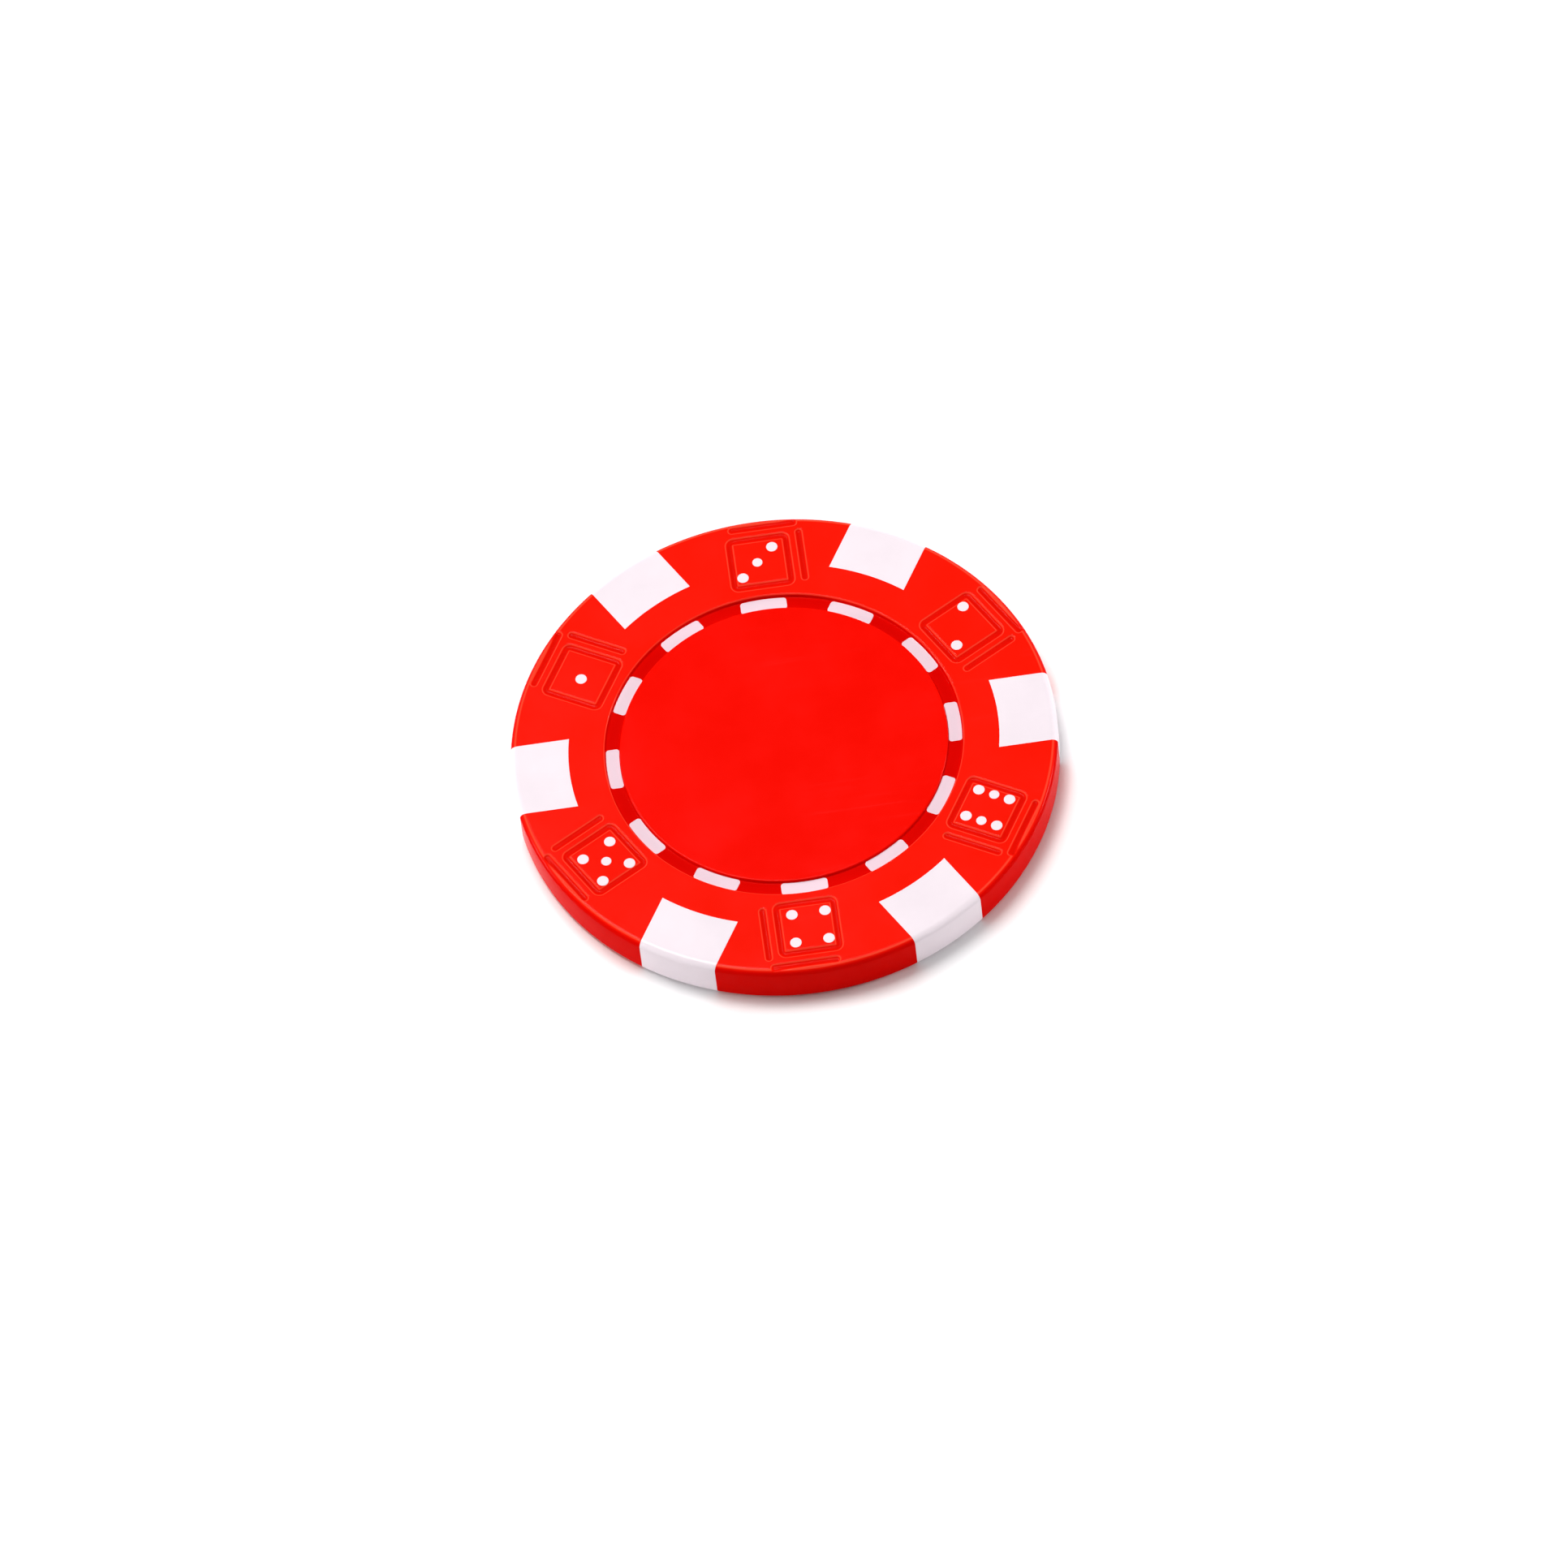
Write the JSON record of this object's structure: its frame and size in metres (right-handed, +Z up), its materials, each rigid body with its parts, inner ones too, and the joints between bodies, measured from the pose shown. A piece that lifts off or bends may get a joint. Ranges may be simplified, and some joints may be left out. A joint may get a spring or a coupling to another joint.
{
  "type": "golf ball marker",
  "caption": "Round chip-style golf ball marker: weighted plastic disc with contrasting edge spots, dashed ring groove, sunken dice outlines and a blank label centre on each face.",
  "frame": {"origin": "centre of the lower face, in the plane that the marker rests on", "axes": "+Z up along the disc's axis; +Y towards the die with three pips on the upper face; +X through the edge spot a quarter turn clockwise from it"},
  "size_m": [0.04, 0.04, 0.0033],
  "materials": {
    "slug_steel": "stamped mild steel, zinc plated, hidden inside the mouldings",
    "white_plastic": "white moulded plastic, fine satin-gloss grain",
    "red_plastic": "bright red moulded plastic, fine satin-gloss grain"
  },
  "bodies": {
    "root": {"steel_slug": "slug_steel", "white_core": "white_plastic", "red_body": "red_plastic"}
  },
  "joints": []
}
